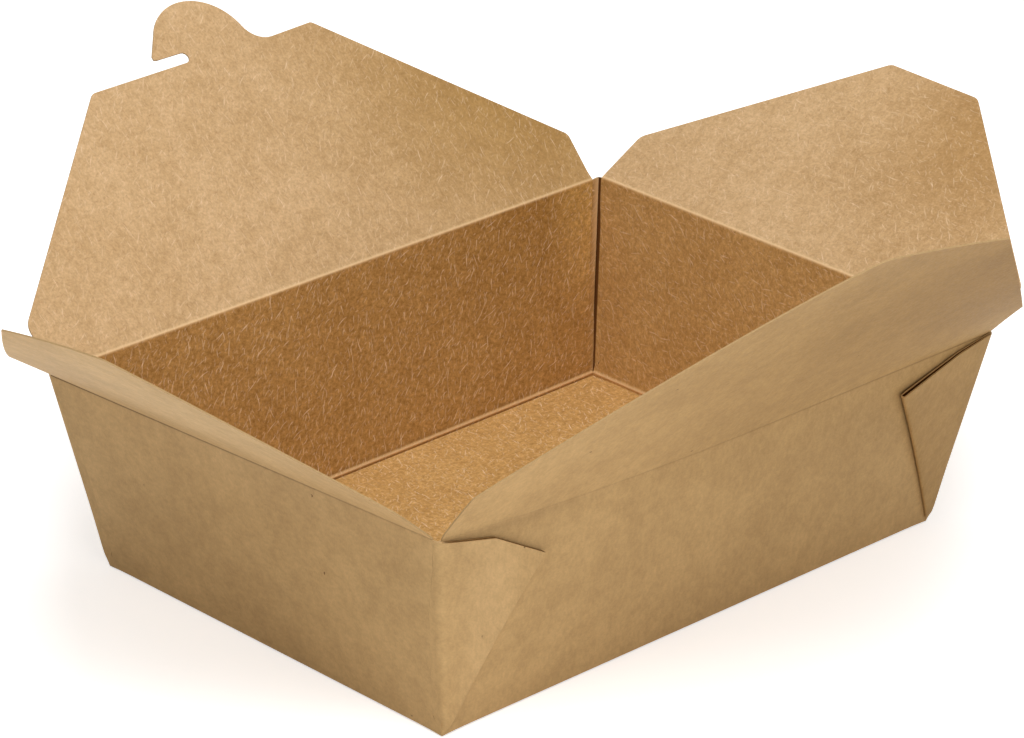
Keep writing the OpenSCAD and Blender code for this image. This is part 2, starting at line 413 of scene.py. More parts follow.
def base_sheet(sheet):
    """The base's points, as a grid of point numbers: columns along X, rows along Y."""
    columns = base_stations(FX)
    rows = base_stations(FY)

    def share(mark, half):
        """Place of a mark, from 0 at the low end of the base to 1 at its high end."""
        kind, value = mark
        if kind == "flat":
            return (FOOT_SOFT + (2 * half - 2 * FOOT_SOFT) * value) / (2 * half)
        edge = FOOT_SOFT * (1 - value) ** 2 / (2 * half)
        return edge if kind == "low" else 1 - edge

    def across(mark, low, high):
        """Place and lift along one axis, for one mark, between two sides."""
        kind, value = mark
        if kind == "flat":
            a = low.foot_bend(np.zeros(1))[0]
            b = high.foot_bend(np.zeros(1))[0]
            return a + (b - a) * value
        near = low if kind == "low" else high
        return near.foot_bend(np.array([value]))[0]

    grid = []
    for row in rows:
        ids = []
        for column in columns:
            x = share(column, FX)
            y = share(row, FY)
            # left runs front to back, right back to front, back left to right, front right to left
            in_x = across(column, Turned(left, y), Turned(right, 1 - y))
            in_y = across(row, Turned(front, 1 - x), Turned(back, x))
            point = [in_x[0], in_y[1], in_x[2] + in_y[2] - HALF_BOARD]
            flat = [-FX + 2 * FX * x, -FY + 2 * FY * y]
            ids += sheet.add([point], [flat], deep=BASE_PAINTED_SHADE)
        grid.append(ids)
    return grid


class Turned:
    """A side seen from the base at one fixed share of its length."""

    def __init__(self, side, q):
        self.side = side
        self.q = np.array([q])

    def foot_bend(self, t):
        return self.side.foot_bend(self.q, t)


def arm(sheet, side, start):
    """A wall, from the row of base points it starts on up to the seam below its rim."""
    foot_a, foot_b = side.foot
    run = foot_b - foot_a
    places = np.array([sheet.points[i] for i in start])
    q = ((places - foot_a) @ run) / (run @ run)
    rows = [start]
    length = np.linalg.norm(run)
    for t in WALL_BEND_ROWS:
        points = side.foot_bend(q, np.full(len(q), t))
        v = side.foot_soft(q) * t**2
        rows.append(sheet.add(points, side.flat(q * length, v), **foot_marks(side, v)))
    height = side.height(q)
    low = side.foot_soft(q)
    top = height - SEAM_DROP
    for share in np.append(WALL_ROWS, 1.0):
        v = np.maximum(share * top, low * (1 + share))
        edge_a = margin(v / height, side.inset[0]) / side.length
        edge_b = margin(v / height, side.inset[1]) / side.length
        inside = edge_a + q * (1 - edge_a - edge_b)
        points = side.wall(inside, v)
        spread = side.length / length
        s = length / 2 + (inside - 0.5) * length * (1 + (spread - 1) * v / height)
        rows.append(sheet.add(points, side.flat(s, v), **foot_marks(side, v)))
    sheet.rows(rows)


def tray_sheet(materials):
    sheet = Sheet()
    grid = base_sheet(sheet)
    sheet.rows(grid)
    arm(sheet, back, grid[-1])
    arm(sheet, front, grid[0][::-1])
    arm(sheet, right, [row[-1] for row in grid[::-1]])
    arm(sheet, left, [row[0] for row in grid])
    return sheet.build("tray_sheet", materials)


# Corner gussets

LAYER_STEP = 0.57
LAYER_RUN = 0.08  # share of the corner, from its foot, over which the layers part
FOLD_STEPS = 5
FOLD_REACH = 0.8  # how far a fold stands out, at most, in layer steps
HEM_GAP = 0.8  # distance of the fold in the long wall from the end wall
HEM_SHARE = 0.7  # the most of a margin or a layer that this distance takes
SKIPPED = 2  # steps from the corner that a layer leaves to the rounded corner
LAYER_MARKS = np.linspace(0, 2, 13)[SKIPPED:]  # 1 at the bend of its top edge, 2 at the tip
CORNER_POINTS = 9

# small moves on a wall that show which way it faces: a share along it and millimetres up
NUDGE_ALONG = 0.002
NUDGE_UP = 0.5

# the painted shade line in the gap at the corner, how far out on the end wall it starts and fades, and the
# painted shade on the inner layer of a fold, seen in the gap between the layers
CORNER_SHADE = 1.2
DARK_FROM = 1.0
DARK_FADE = 1.4
FOLD_GAP_SHADE = 1.2

# the painted highlight along the fold in the long wall, what it gains further up, and where and over what
# share
HEM_HIGHLIGHT = 0.15
HEM_HIGHLIGHT_MORE = 0.6
HEM_HIGHLIGHT_FROM = 0.35
HEM_HIGHLIGHT_RUN = 0.5
GUSSET_FAR = 300.0  # where the grain of the corner pieces lies, away from the rest of the sheet
GUSSET_ROWS = np.concatenate([[0.0, 0.006, 0.015, 0.03, 0.06, 0.1], np.linspace(0.16, 1.0, 15)])


class Gusset:
    """Folded web round a corner: from an end wall, in two layers on the long wall, back into that wall."""

    def __init__(self, name, end, long_side, end_from_a, top, lift, soft):
        self.name = name
        self.end = end
        self.long_side = long_side
        self.end_from_a = end_from_a
        self.top = [np.array(p) for p in top]
        self.lift = lift
        self.soft = soft

    def on(self, side, from_a, distance, v):
        """Point and outward normal on a wall, at a distance from this corner."""
        q = np.asarray(distance, float) / side.length
        q = q if from_a else 1 - q
        v = np.asarray(v, float)
        point = side.wall(q, v)
        ahead = side.wall(q + NUDGE_ALONG, v) - point
        above = side.wall(q, v + NUDGE_UP) - point
        normal = unit(np.cross(ahead, above))
        return point, normal * np.sign(normal @ side.out)[:, None]

    def layer(self, distance, v, offset, share):
        """Point of a gusset layer, offset outward from the long wall and lifted by a share of the lift."""
        point, normal = self.on(self.long_side, not self.end_from_a, distance, v)
        reach = np.asarray(distance, float) / self.top[2][0]
        return point + normal * (offset + share * self.lift * reach)[:, None]

    def build(self, materials):
        sheet = Sheet()
        rows = [self.row(sheet, share) for share in GUSSET_ROWS]
        sheet.rows(rows[::-1] if self.end_from_a else rows)
        return sheet.build(self.name, materials)

    def across(self, share):
        """Distance and height of points along one row of a layer, from the corner to the fold."""
        marks = np.array(self.top)
        line = np.column_stack([np.interp(LAYER_MARKS, [0, 1, 2], marks[:, i]) for i in range(2)])
        return line * share

    def row(self, sheet, share):
        """One row of points round the gusset, from the end wall over both layers to the long wall."""
        grow = float(smooth(share / LAYER_RUN))
        inset_end = self.end.inset[0 if self.end_from_a else 1]
        inset_long = self.long_side.inset[1 if self.end_from_a else 0]
        edge_end = float(margin(np.array(share), inset_end))
        edge = float(margin(np.array(share), inset_long))
        step = LAYER_STEP * grow
        v = np.array([share * self.top[0][1]])
        on_long = not self.end_from_a
        corner, out = self.on(self.long_side, on_long, [0.0], v)
        seam_end, _ = self.on(self.end, self.end_from_a, [edge_end], v)
        seam_long, _ = self.on(self.long_side, on_long, [edge], v)
        line = self.across(max(share, 0.001))
        outer = self.layer(line[:, 0], line[:, 1], 2 * step, grow)
        inner = self.layer(line[::-1, 0], line[::-1, 1], step, grow * 0.5)
        turn = corner + out * 2 * step
        wrap = rounded_corner(seam_end, turn, outer[:1], max(self.soft * grow, 0.02))
        arcs = np.linspace(0, math.pi, FOLD_STEPS + 2)[1:-1]
        away = unit(outer[-1] - outer[-2])
        half = (outer[-1] - inner[0]) / 2
        reach = min(float(np.linalg.norm(half)), LAYER_STEP * FOLD_REACH)
        fold = [outer[-1] - half + half * math.cos(a) + away * reach * math.sin(a) for a in arcs]
        hem_at = min(HEM_GAP + step / 2, edge * HEM_SHARE, line[0, 0] * HEM_SHARE)
        hem_out = self.layer([hem_at], v, step, 0.0)
        hem_in, _ = self.on(self.long_side, on_long, [hem_at], v)
        half = (hem_out - hem_in) / 2
        to_corner = unit(corner - hem_in) * float(np.linalg.norm(half))
        hem = [(hem_in + half + half * math.cos(a) + to_corner * math.sin(a))[0] for a in arcs]
        beside = [min(DARK_FROM * DARK_FADE, edge_end * 0.8), min(DARK_FROM, edge_end * 0.6)]
        line_end, _ = self.on(self.end, self.end_from_a, beside, np.repeat(v, 2))
        wall_end = np.vstack([seam_end, line_end])
        points = np.vstack([wall_end, wrap, outer, fold, inner, hem_out, hem, hem_in, seam_long])
        run = np.concatenate([[0.0], np.cumsum(np.linalg.norm(np.diff(points, axis=0), axis=1))])
        far = GUSSET_FAR * np.array([self.end.out[0], self.long_side.out[1]])
        flat = np.column_stack([run + far[0], np.full(len(run), v[0] + far[1])])
        tuck = len(wall_end) + len(wrap)
        # painted marks: a highlight along the fold in the long wall, shade in the corner gap and on the
        # inner layer seen between the layers, and the same painted shade as the walls they join
        pale = np.zeros(len(points))
        more = HEM_HIGHLIGHT_MORE * smooth((share - HEM_HIGHLIGHT_FROM) / HEM_HIGHLIGHT_RUN)
        pale[-FOLD_STEPS - 3 : -1] = HEM_HIGHLIGHT + more
        dark = np.zeros(len(points))
        dark[len(wall_end) - 1 : -FOLD_STEPS - 3] = CORNER_SHADE
        score = np.zeros(len(points))
        score[tuck + len(outer) + FOLD_STEPS : -FOLD_STEPS - 3] = FOLD_GAP_SHADE
        deep = np.full(len(points), self.long_side.deep)
        deep[:tuck] = self.end.deep
        return sheet.add(points, flat, pale=pale, dark=dark, deep=deep, score=score)


def rounded_corner(before, corner, after, radius):
    """Points that round a corner between two neighbours."""
    t = np.linspace(0, 1, CORNER_POINTS)[:, None]
    start = corner + (before - corner) * min(0.95, radius / float(np.linalg.norm(before - corner)))
    end = corner + (after - corner) * min(0.9, radius / float(np.linalg.norm(after - corner)))
    return start * (1 - t) ** 2 + corner * 2 * t * (1 - t) + end * t**2


# Flaps

# rows of the band along a crease, from the seam in the wall to where the flap's own mesh takes over
BAND_TOP = 3.0
BAND_BELOW = [-SEAM_DROP, -2.4, -1.6, -1.2, -0.9, -0.65, -0.4, -0.25, -0.1]
BAND_ABOVE = [0.1, 0.25, 0.4, 0.65, 0.9, 1.2, 1.6, 2.2, BAND_TOP]


def rounded_outline(corners, radii):
    """Closed outline with arcs at its corners."""
    outline = []
    count = len(corners)
    for i, (corner, radius) in enumerate(zip(corners, radii)):
        corner = np.array(corner, float)
        before = unit(np.array(corners[i - 1], float) - corner)
        after = unit(np.array(corners[(i + 1) % count], float) - corner)
        if radius <= 0:
            outline.append(corner)
            continue
        half = math.acos(np.clip(before @ after, -1, 1)) / 2
        middle = corner + unit(before + after) * radius / math.sin(half)
        start = corner + before * radius / math.tan(half) - middle
        turn = (math.pi - 2 * half) * np.sign(before[1] * after[0] - before[0] * after[1])
        for t in np.linspace(0, turn, 6):
            c = math.cos(t)
            s = math.sin(t)
            outline.append(middle + [start[0] * c - start[1] * s, start[0] * s + start[1] * c])
    return outline


def arc(centre, radius, start, end, steps):
    """Points of an arc between two angles in degrees."""
    angles = np.radians(np.linspace(start, end, steps))
    return [np.array(centre) + radius * np.array([math.cos(a), math.sin(a)]) for a in angles]


# the hook: its round head, the hollow on the right of it and the notch on its left
HEAD_R = 17.3
HEAD_RISE = 2.4
HEAD_SHIFT = 1.9
HOLLOW_R = 8.0
NOTCH_REACH = 9.2
NOTCH_W = 3.6
NOTCH_L = 12.4
TIP_CORNER = [(1.4, 0), (0.2, 0.3), (0.3, 1.6)]


def hook_outline(middle, depth):
    """The hook, from the notch on its left to the foot of the hollow on its right."""
    head = np.array([middle + HEAD_SHIFT, depth + HEAD_RISE])
    notch = np.array([head[0] - NOTCH_REACH, depth + NOTCH_W / 2])
    tip = np.array([notch[0] + NOTCH_W / 2 - NOTCH_L, depth + NOTCH_W])
    to_tip = tip - head
    to_head_start = math.atan2(to_tip[1], to_tip[0]) - math.acos(HEAD_R / np.linalg.norm(to_tip))
    head_start = math.degrees(to_head_start)
    head_end = math.degrees(math.asin((HOLLOW_R - HEAD_RISE) / (HEAD_R + HOLLOW_R)))
    angle = math.radians(head_end)
    hollow = head + np.array([math.cos(angle), math.sin(angle)]) * (HEAD_R + HOLLOW_R)
    points = arc(notch, NOTCH_W / 2, -90, 90, 8)
    points += [tip + corner for corner in TIP_CORNER]
    points += arc(head, HEAD_R, head_start, head_end, 28)
    return points + arc(hollow, HOLLOW_R, 180 + head_end, 270, 9)[1:]


def flap_outline(length, inset, corners, radii, extra=()):
    """Outline of a flap along its crease and beyond it, from its left foot round to its right."""
    feet = (inset[0], BAND_TOP), (length - inset[1], BAND_TOP)
    turned = rounded_outline([feet[0], *corners, feet[1]], [0, *radii, 0])
    if not extra:
        return turned
    split = next(i for i, p in enumerate(turned) if p[0] > length / 2)
    return turned[:split] + list(extra) + turned[split:]


def distance_to(points, loop):
    """Distance of each point to a closed line."""
    nearest = np.full(len(points), np.inf)
    for a, b in zip(loop, np.roll(loop, -1, 0)):
        d = b - a
        t = np.clip(((points - a) @ d) / max(d @ d, 1e-9), 0, 1)
        nearest = np.minimum(nearest, np.linalg.norm(points - a - np.outer(t, d), axis=1))
    return nearest


def inside(points, loop):
    """Whether each point is inside a closed line."""
    hits = np.zeros(len(points), bool)
    for a, b in zip(loop, np.roll(loop, -1, 0)):
        crosses = (a[1] > points[:, 1]) != (b[1] > points[:, 1])
        slope = (b[0] - a[0]) / np.where(b[1] == a[1], 1e-9, b[1] - a[1])
        hits ^= crosses & (points[:, 0] < a[0] + slope * (points[:, 1] - a[1]))
    return hits


def dense(loop, step):
    """The same closed line with points at most a step apart."""
    points = []
    for a, b in zip(loop, np.roll(loop, -1, 0)):
        count = max(1, int(np.ceil(np.linalg.norm(b - a) / step)))
        points += [a + (b - a) * i / count for i in range(count)]
    return np.array(points)


def flap_sheet(side, materials, corners, radii, extra=(), hole=None):
    """A flap with the strip of wall below its crease, as one mesh."""
    sheet = Sheet()
    length = side.length
    foot_run = np.linalg.norm(side.foot[1] - side.foot[0])
    columns = np.linspace(side.inset[0], length - side.inset[1], int(length / OUTLINE_STEP))

    def put(u, w):
        u = np.asarray(u, float)
        w = np.asarray(w, float)
        q = u / length
        flat = side.flat(foot_run / 2 + u - length / 2, side.height(q) + w)
        return sheet.add(side.sheet(q, w), flat, **rim_marks(side, q, w))

    band = [put(columns, np.full(len(columns), w)) for w in BAND_BELOW + BAND_ABOVE]
    sheet.rows(band)
    outline = np.array(flap_outline(length, side.inset, corners, radii, extra))
    sides = dense(outline, OUTLINE_STEP)
    last = int(np.argmin(np.linalg.norm(sides - outline[-1], axis=1)))
    upper = sides[1:last]
    lower = np.column_stack([columns, np.full(len(columns), BAND_TOP)])
    loop = np.vstack([lower, upper[::-1]])
    xs = np.arange(side.inset[0] + GRID, length - side.inset[1], GRID)
    ys = np.arange(BAND_TOP + GRID * CLEAR_OF_BAND, max(outline[:, 1]), GRID)
    cloud = np.array([(x + (GRID / 2 if i % 2 else 0), y) for i, y in enumerate(ys) for x in xs])
    keep = inside(cloud, loop) & (distance_to(cloud, loop) > GRID * CLEAR_OF_OUTLINE)
    chains = [loop]
    if hole is not None:
        chains.append(hole)
        keep &= ~inside(cloud, hole) & (distance_to(cloud, hole) > GRID * CLEAR_OF_HOLE)
    cloud = cloud[keep]
    verts = []
    edges = []
    for chain in chains:
        first = len(verts)
        verts += [Vector(p) for p in chain]
        edges += [(first + i, first + (i + 1) % len(chain)) for i in range(len(chain))]
    verts += [Vector(p) for p in cloud]
    made = delaunay_2d_cdt(verts, edges, [], INSIDE_OUTLINE, 1e-5)
    places = np.array([list(v) for v in made[0]])
    triangles = [tuple(t) for t in made[2]]
    if hole is not None:
        middles = np.array([places[list(t)].mean(0) for t in triangles])
        gone = inside(middles, hole)
        triangles = [t for t, g in zip(triangles, gone) if not g]
    ids = {}
    used = sorted({i for t in triangles for i in t})
    fresh = []
    for i in used:
        on_band = abs(places[i][1] - BAND_TOP) < 1e-4
        column = int(np.argmin(np.abs(columns - places[i][0])))
        if on_band and abs(columns[column] - places[i][0]) < 1e-3:
            ids[i] = band[-1][column]
        else:
            fresh.append(i)
    numbers = put(places[fresh][:, 0], places[fresh][:, 1])
    ids.update(dict(zip(fresh, numbers)))
    for a, b, c in triangles:
        p = places[a]
        q = places[b]
        r = places[c]
        turn = (q[0] - p[0]) * (r[1] - p[1]) - (q[1] - p[1]) * (r[0] - p[0])
        sheet.faces.append((ids[a], ids[b], ids[c]) if turn > 0 else (ids[a], ids[c], ids[b]))
    return sheet.build(side.name + "_sheet", materials)


# Board finish

FIBRE_LEAN = 0.5  # turn of the fibres from Y of the sheet, in radians
FIBRE_TAPER = 0.6

# sockets of a Mix node that carry colours
COLOUR_A = 6
COLOUR_B = 7
COLOUR_RESULT = 2


class Finish:
    """A material and short names for the nodes that it is made of."""

    def __init__(self, name, roughness, specular):
        self.material = bpy.data.materials.new(name)
        self.material.use_nodes = True
        self.tree = self.material.node_tree
        self.shader = self.tree.nodes["Principled BSDF"]
        self.shader.inputs["Roughness"].default_value = roughness
        self.shader.inputs["Specular IOR Level"].default_value = specular
        self.place = self.node("ShaderNodeUVMap").outputs[0]
        self.place.node.uv_map = "sheet"

    def node(self, kind, settings=None, **inputs):
        made = self.tree.nodes.new(kind)
        for key, value in (settings or {}).items():
            setattr(made, key, value)
        for key, value in inputs.items():
            self.feed(made.inputs[key], value)
        return made

    def feed(self, socket, value):
        if isinstance(value, bpy.types.NodeSocket):
            self.tree.links.new(value, socket)
        else:
            socket.default_value = value

    def math(self, operation, a, b=0.0, clamp=False):
        made = self.tree.nodes.new("ShaderNodeMath")
        made.operation = operation
        made.use_clamp = clamp
        self.feed(made.inputs[0], a)
        self.feed(made.inputs[1], b)
        return made.outputs[0]

    def stretch(self, scale, turn=0.0, shift=(0.0, 0.0)):
        """The place on the sheet, turned by degrees and scaled."""
        angles = (0, 0, math.radians(turn))
        places = dict(Vector=self.place, Location=(*shift, 0), Rotation=angles, Scale=(*scale, 1))
        return self.node("ShaderNodeMapping", {"vector_type": "POINT"}, **places).outputs[0]

    def noise(self, place, scale, detail=2.0, roughness=0.5):
        values = dict(Vector=place, Scale=scale, Detail=detail, Roughness=roughness)
        return self.node("ShaderNodeTexNoise", {"noise_dimensions": "2D"}, **values).outputs["Fac"]

    def ramp(self, value, low, high):
        """0 below low, 1 above high."""
        made = self.tree.nodes.new("ShaderNodeMapRange")
        self.feed(made.inputs["Value"], value)
        made.inputs["From Min"].default_value = low
        made.inputs["From Max"].default_value = high
        return made.outputs[0]

    def mix(self, factor, a, b, blend="MIX"):
        made = self.tree.nodes.new("ShaderNodeMix")
        made.data_type = "RGBA"
        made.blend_type = blend
        self.feed(made.inputs["Factor"], factor)
        self.feed(made.inputs[COLOUR_A], a)
        self.feed(made.inputs[COLOUR_B], b)
        return made.outputs[COLOUR_RESULT]

    def mark(self, name):
        """Strength of a mark kept on the mesh."""
        made = self.node("ShaderNodeAttribute", {"attribute_name": name, "attribute_type": "GEOMETRY"})
        return made.outputs["Fac"]

    def spot(self, centre, radii):
        """1 at a place on the sheet, fading to 0 at the given radii, in millimetres."""
        shift = self.node("ShaderNodeVectorMath", {"operation": "SUBTRACT"})
        self.feed(shift.inputs[0], self.place)
        shift.inputs[1].default_value = (centre[0] * UV_MM, centre[1] * UV_MM, 0)
        scale = self.node("ShaderNodeVectorMath", {"operation": "DIVIDE"})
        self.feed(scale.inputs[0], shift.outputs[0])
        scale.inputs[1].default_value = (radii[0] * UV_MM, radii[1] * UV_MM, 1)
        length = self.node("ShaderNodeVectorMath", {"operation": "LENGTH"})
        self.feed(length.inputs[0], scale.outputs[0])
        made = self.tree.nodes.new("ShaderNodeMapRange")
        made.interpolation_type = "SMOOTHSTEP"
        self.feed(made.inputs["Value"], length.outputs["Value"])
        made.inputs["From Min"].default_value = 1.0
        made.inputs["From Max"].default_value = 0.0
        return made.outputs[0]

    def fibres(self, cell, length, width, wander, seed, least=0.35):
        """Short thin lines, one in each cell, leaning from Y of the sheet; sizes in millimetres."""
        place = self.node("ShaderNodeVectorMath", {"operation": "ADD"})
        self.feed(place.inputs[0], self.place)
        place.inputs[1].default_value = (seed * 0.37, seed * 0.53, 0)
        values = dict(Vector=place.outputs[0], Scale=1 / (cell * UV_MM))
        cells = self.node("ShaderNodeTexVoronoi", {"voronoi_dimensions": "2D"}, **values)
        local = self.node("ShaderNodeVectorMath", {"operation": "SUBTRACT"})
        self.feed(local.inputs[0], place.outputs[0])
        self.feed(local.inputs[1], cells.outputs["Position"])
        chance = self.node("ShaderNodeSeparateColor")
        self.feed(chance.inputs[0], cells.outputs["Color"])
        turn = self.math("MULTIPLY", self.math("SUBTRACT", chance.outputs[0], 0.5), wander)
        turn = self.math("ADD", turn, FIBRE_LEAN)
        rotate = self.tree.nodes.new("ShaderNodeVectorRotate")
        rotate.rotation_type = "Z_AXIS"
        self.feed(rotate.inputs["Vector"], local.outputs[0])
        self.feed(rotate.inputs["Angle"], turn)
        axes = self.node("ShaderNodeSeparateXYZ")
        self.feed(axes.inputs[0], rotate.outputs[0])
        along = self.math("DIVIDE", axes.outputs[1], length * UV_MM / 2)
        bend = self.math("SUBTRACT", chance.outputs[2], 0.5)
        bow = self.math("MULTIPLY", self.math("MULTIPLY", along, along), bend)
        bow = self.math("MULTIPLY", bow, width * UV_MM * 2)
        across = self.math("DIVIDE", self.math("ADD", axes.outputs[0], bow), width * UV_MM / 2)
        end = self.math("SUBTRACT", 1.0, self.math("ABSOLUTE", along), clamp=True)
        side = self.math("SUBTRACT", 1.0, self.math("ABSOLUTE", across), clamp=True)
        strong = self.ramp(chance.outputs[1], least, 1.0)
        shape = self.math("MULTIPLY", self.math("POWER", end, FIBRE_TAPER), side)
        return self.math("MULTIPLY", shape, strong)


def colour(red, green, blue):
    """Linear colour from the 0 to 255 values seen on screen."""

    def linear(x):
        x = x / 255
        return x / 12.92 if x <= 0.04045 else ((x + 0.055) / 1.055) ** 2.4

    return (linear(red), linear(green), linear(blue), 1.0)


def grain(finish, tone, scale, low, high, dark, light, turn=0.0, stretch=(1, 1), detail=2.0, rough=0.6):
    """One scale of cloudy grain: multiplies a tone by something between dark and light."""
    value = finish.noise(finish.stretch(stretch, turn, (scale * 0.11, scale * 0.07)), scale, detail, rough)
    level = finish.ramp(value, low, high)
    shade = finish.mix(level, dark, light)
    return finish.mix(1.0, tone, shade, "MULTIPLY")


def board_outside():
    finish = Finish("board_outside", 0.6, 0.14)
    # darker on the slot flap and the front right gusset, paler on the front left one, and paler on the
    # left flap, which is painted light falling on that side
    tone = finish.mix(finish.spot((105, -215), (260, 140)), colour(200, 164, 113), colour(146, 110, 56))
    tone = finish.mix(finish.spot((325, -265), (110, 110)), tone, colour(178, 142, 92))
    tone = finish.mix(finish.spot((-279, -265), (20, 80)), tone, colour(210, 174, 123))
    tone = finish.mix(finish.spot((-200, -10), (60, 100)), tone, colour(214, 182, 136))
    tone = grain(finish, tone, 3.0, 0.35, 0.65, (0.95, 0.94, 0.92, 1), (1.04, 1.04, 1.03, 1))
    tone = grain(finish, tone, 16.0, 0.35, 0.65, (0.955, 0.95, 0.94, 1), (1.04, 1.045, 1.05, 1), turn=20)
    light = (1.045, 1.045, 1.05, 1)
    tone = grain(finish, tone, 45.0, 0.32, 0.68, (0.955, 0.95, 0.94, 1), light, turn=8, stretch=(1.5, 1))
    tone = grain(finish, tone, 120.0, 0.3, 0.7, (0.955, 0.955, 0.95, 1), light, turn=5, stretch=(1, 1.4))
    speck = finish.fibres(cell=26.0, length=1.1, width=0.7, wander=6.0, seed=3.0, least=0.75)
    tone = finish.mix(finish.math("MULTIPLY", speck, 2.0, clamp=True), tone, colour(120, 88, 52))
    # painted shadow lines along the outer grooves of the rim creases, a painted shade band below the bent
    # front crease, and painted shade on gusset layers seen in their gaps
    score = finish.math("MULTIPLY", finish.mark("score"), 0.8, clamp=True)
    tone = finish.mix(score, tone, colour(92, 68, 42))
    fine = finish.noise(finish.place, 90.0, 3.0, 0.7)
    bump = finish.node("ShaderNodeBump", None, Height=fine)
    bump.inputs["Strength"].default_value = 0.15
    bump.inputs["Distance"].default_value = 0.0001
    rough = finish.ramp(fine, 0.3, 0.7)
    level = finish.node("ShaderNodeMapRange", None, Value=rough)
    level.inputs["To Min"].default_value = 0.52
    level.inputs["To Max"].default_value = 0.68
    finish.feed(finish.shader.inputs["Roughness"], level.outputs[0])
    finish.feed(finish.shader.inputs["Base Color"], tone)
    finish.feed(finish.shader.inputs["Normal"], bump.outputs[0])
    return finish.material


def board_inside():
    finish = Finish("board_inside", 0.78, 0.15)
    # painted shade: darker and yellower towards the right end of the hook flap, beside the right flap
    tone = finish.mix(finish.spot((110, 175), (120, 100)), colour(203, 169, 125), colour(172, 134, 76))
    tone = finish.mix(finish.spot((229, -33), (80, 65)), tone, colour(176, 138, 88))
    # painted shade: the walls and the base are browner than the flaps, as if lit less and by light bounced
    # round inside the box, and yellower where that shade is only half done
    inner = finish.mark("deep")
    deep = finish.mix(inner, (1, 1, 1, 1), (0.77, 0.63, 0.37, 1))
    tone = finish.mix(1.0, tone, deep, "MULTIPLY")
    rest = finish.math("SUBTRACT", 1.0, inner)
    half = finish.math("MULTIPLY", finish.math("MULTIPLY", inner, rest), 4.0)
    tone = finish.mix(half, tone, finish.mix(1.0, tone, (1.04, 1.0, 0.82, 1), "MULTIPLY"))
    # they have a rougher grain, and at its top right the back wall is brighter: painted light that lifts
    # the painted shade there
    dark = (0.77, 0.74, 0.69, 1)
    light = (1.23, 1.26, 1.33, 1)
    coarse = grain(finish, tone, 58.0, 0.3, 0.7, dark, light, 30, (1, 1.3), detail=3.0, rough=0.78)
    tone = finish.mix(finish.math("MULTIPLY", inner, 1.3, clamp=True), tone, coarse)
    painted_light = finish.mix(1.0, tone, (1.5, 1.7, 2.0, 1), "MULTIPLY")
    corner = finish.math("MULTIPLY", finish.spot((106, 126), (26, 50)), inner)
    tone = finish.mix(corner, tone, painted_light)
    tone = grain(finish, tone, 4.0, 0.35, 0.65, (0.96, 0.94, 0.91, 1), (1.03, 1.03, 1.04, 1))
    tone = grain(finish, tone, 18.0, 0.35, 0.65, (0.955, 0.945, 0.92, 1), (1.04, 1.045, 1.06, 1), turn=20)
    tone = grain(finish, tone, 50.0, 0.32, 0.68, (0.93, 0.92, 0.9, 1), (1.06, 1.065, 1.08, 1), turn=8)
    tone = grain(finish, tone, 130.0, 0.3, 0.7, (0.91, 0.89, 0.86, 1), (1.08, 1.085, 1.1, 1), turn=5)
    short = finish.fibres(cell=1.5, length=1.7, width=0.5, wander=1.8, seed=1.0)
    fleck = finish.fibres(cell=2.4, length=3.0, width=0.5, wander=1.3, seed=7.0)
    hair = finish.fibres(cell=4.6, length=5.0, width=0.42, wander=1.6, seed=5.0, least=0.45)
    pale = finish.math("ADD", finish.math("MULTIPLY", short, 0.36), finish.math("MULTIPLY", fleck, 0.55))
    pale = finish.math("ADD", pale, finish.math("MULTIPLY", hair, 0.75))
    lift = finish.math("ADD", 1.0, finish.math("MULTIPLY", inner, 0.55))
    pale = finish.math("MULTIPLY", pale, lift, clamp=True)
    tone = finish.mix(pale, tone, colour(238, 208, 172))
    dent = finish.fibres(cell=2.0, length=2.2, width=0.5, wander=2.2, seed=12.0)
    tone = finish.mix(finish.math("MULTIPLY", dent, 0.4), tone, colour(150, 100, 48))
    # painted highlights on the beads, the rim ridges and the gusset folds
    tone = finish.mix(finish.math("MULTIPLY", finish.mark("pale"), 0.95), tone, colour(246, 210, 160))
    # painted shade in the crevices, above the beads and in the gusset corners
    painted_shade_lines = finish.math("MULTIPLY", finish.mark("dark"), 0.8, clamp=True)
    tone = finish.mix(painted_shade_lines, tone, colour(92, 54, 18))
    fine = finish.noise(finish.place, 110.0, 3.0, 0.7)
    bump = finish.node("ShaderNodeBump", None, Height=finish.math("ADD", fine, pale))
    bump.inputs["Strength"].default_value = 0.2
    bump.inputs["Distance"].default_value = 0.0001
    finish.feed(finish.shader.inputs["Base Color"], tone)
    finish.feed(finish.shader.inputs["Normal"], bump.outputs[0])
    return finish.material


def board_edge():
    finish = Finish("board_edge", 0.8, 0.15)
    streaks = finish.noise(finish.stretch((1, 1)), 90.0, 3.0, 0.7)
    tone = finish.mix(streaks, colour(168, 137, 92), colour(196, 164, 118))
    finish.feed(finish.shader.inputs["Base Color"], tone)
    return finish.material


# The box

board = [board_inside(), board_outside(), board_edge()]

tray = tray_sheet(board)
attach(tray, "tray")
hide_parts("tray")

# top edges of the gussets: distance from the corner and height up the wall at the corner, bend and tip
SQUEEZED_TOP = [(0, 62.8), (20.3, 58.9), (38.8, 48.8)]
LOOSE_TOP = [(0, 63.1), (13.9, 60.6), (36.3, 53.6)]
BACK_TOP = [(0, 62.9), (13.0, 59.8), (31.0, 50.5)]
gussets = [
    Gusset("gusset_front_left", left, front, True, SQUEEZED_TOP, lift=0.7, soft=2.3),
    Gusset("gusset_front_right", right, front, False, LOOSE_TOP, lift=1.5, soft=1.2),
    Gusset("gusset_back_left", left, back, False, BACK_TOP, lift=0.4, soft=1.2),
    Gusset("gusset_back_right", right, back, True, BACK_TOP, lift=0.4, soft=1.2),
]
for gusset in gussets:
    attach(gusset.build(board), "tray")

